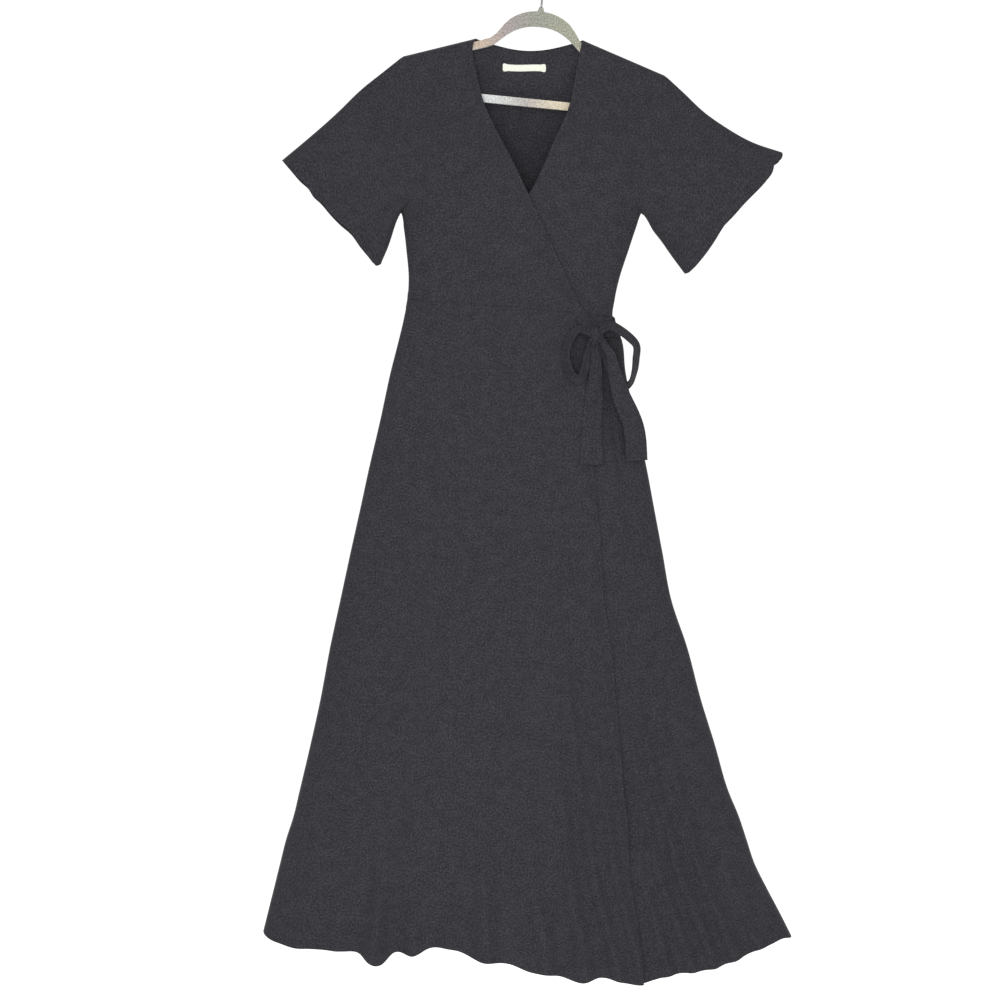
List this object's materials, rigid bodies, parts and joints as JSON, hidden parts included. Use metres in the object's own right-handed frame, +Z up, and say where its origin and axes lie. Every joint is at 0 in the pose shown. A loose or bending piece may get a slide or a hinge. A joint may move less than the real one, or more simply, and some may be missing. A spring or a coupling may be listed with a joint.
{
  "type": "wrap dress on a hanger",
  "caption": "Full-length wrap dress with a crossed V neck, flared elbow sleeves and a side bow, hung open and hollow on a slim hanger.",
  "frame": {"origin": "inside top of the hanger's hook, where a rail carries it", "axes": "+Z up, -Y the front of the dress, +X the wearer's left, which is the right of a front view"},
  "size_m": [0.7929, 0.1767, 1.5062],
  "materials": {
    "crepe": "matte black crepe with a fine grain",
    "label_satin": "plain white woven satin",
    "flock": "short light grey velvet flock on plastic",
    "hook_steel": "bright plated wire"
  },
  "bodies": {
    "root": {"bodice_front_over": "crepe", "bodice_front_under": "crepe", "bodice_back": "crepe", "sleeve_wearer_right": "crepe", "sleeve_wearer_left": "crepe", "skirt_front_over": "crepe", "skirt_front_under": "crepe", "skirt_back": "crepe", "tie_strap_front": "crepe", "tie_strap_back": "crepe", "tie_knot": "crepe", "tie_loop_outer": "crepe", "tie_loop_inner": "crepe", "tie_tail_inner": "crepe", "tie_tail_outer": "crepe", "neck_label": "label_satin", "hanger_body": "flock", "hanger_hook": "hook_steel"}
  },
  "joints": []
}
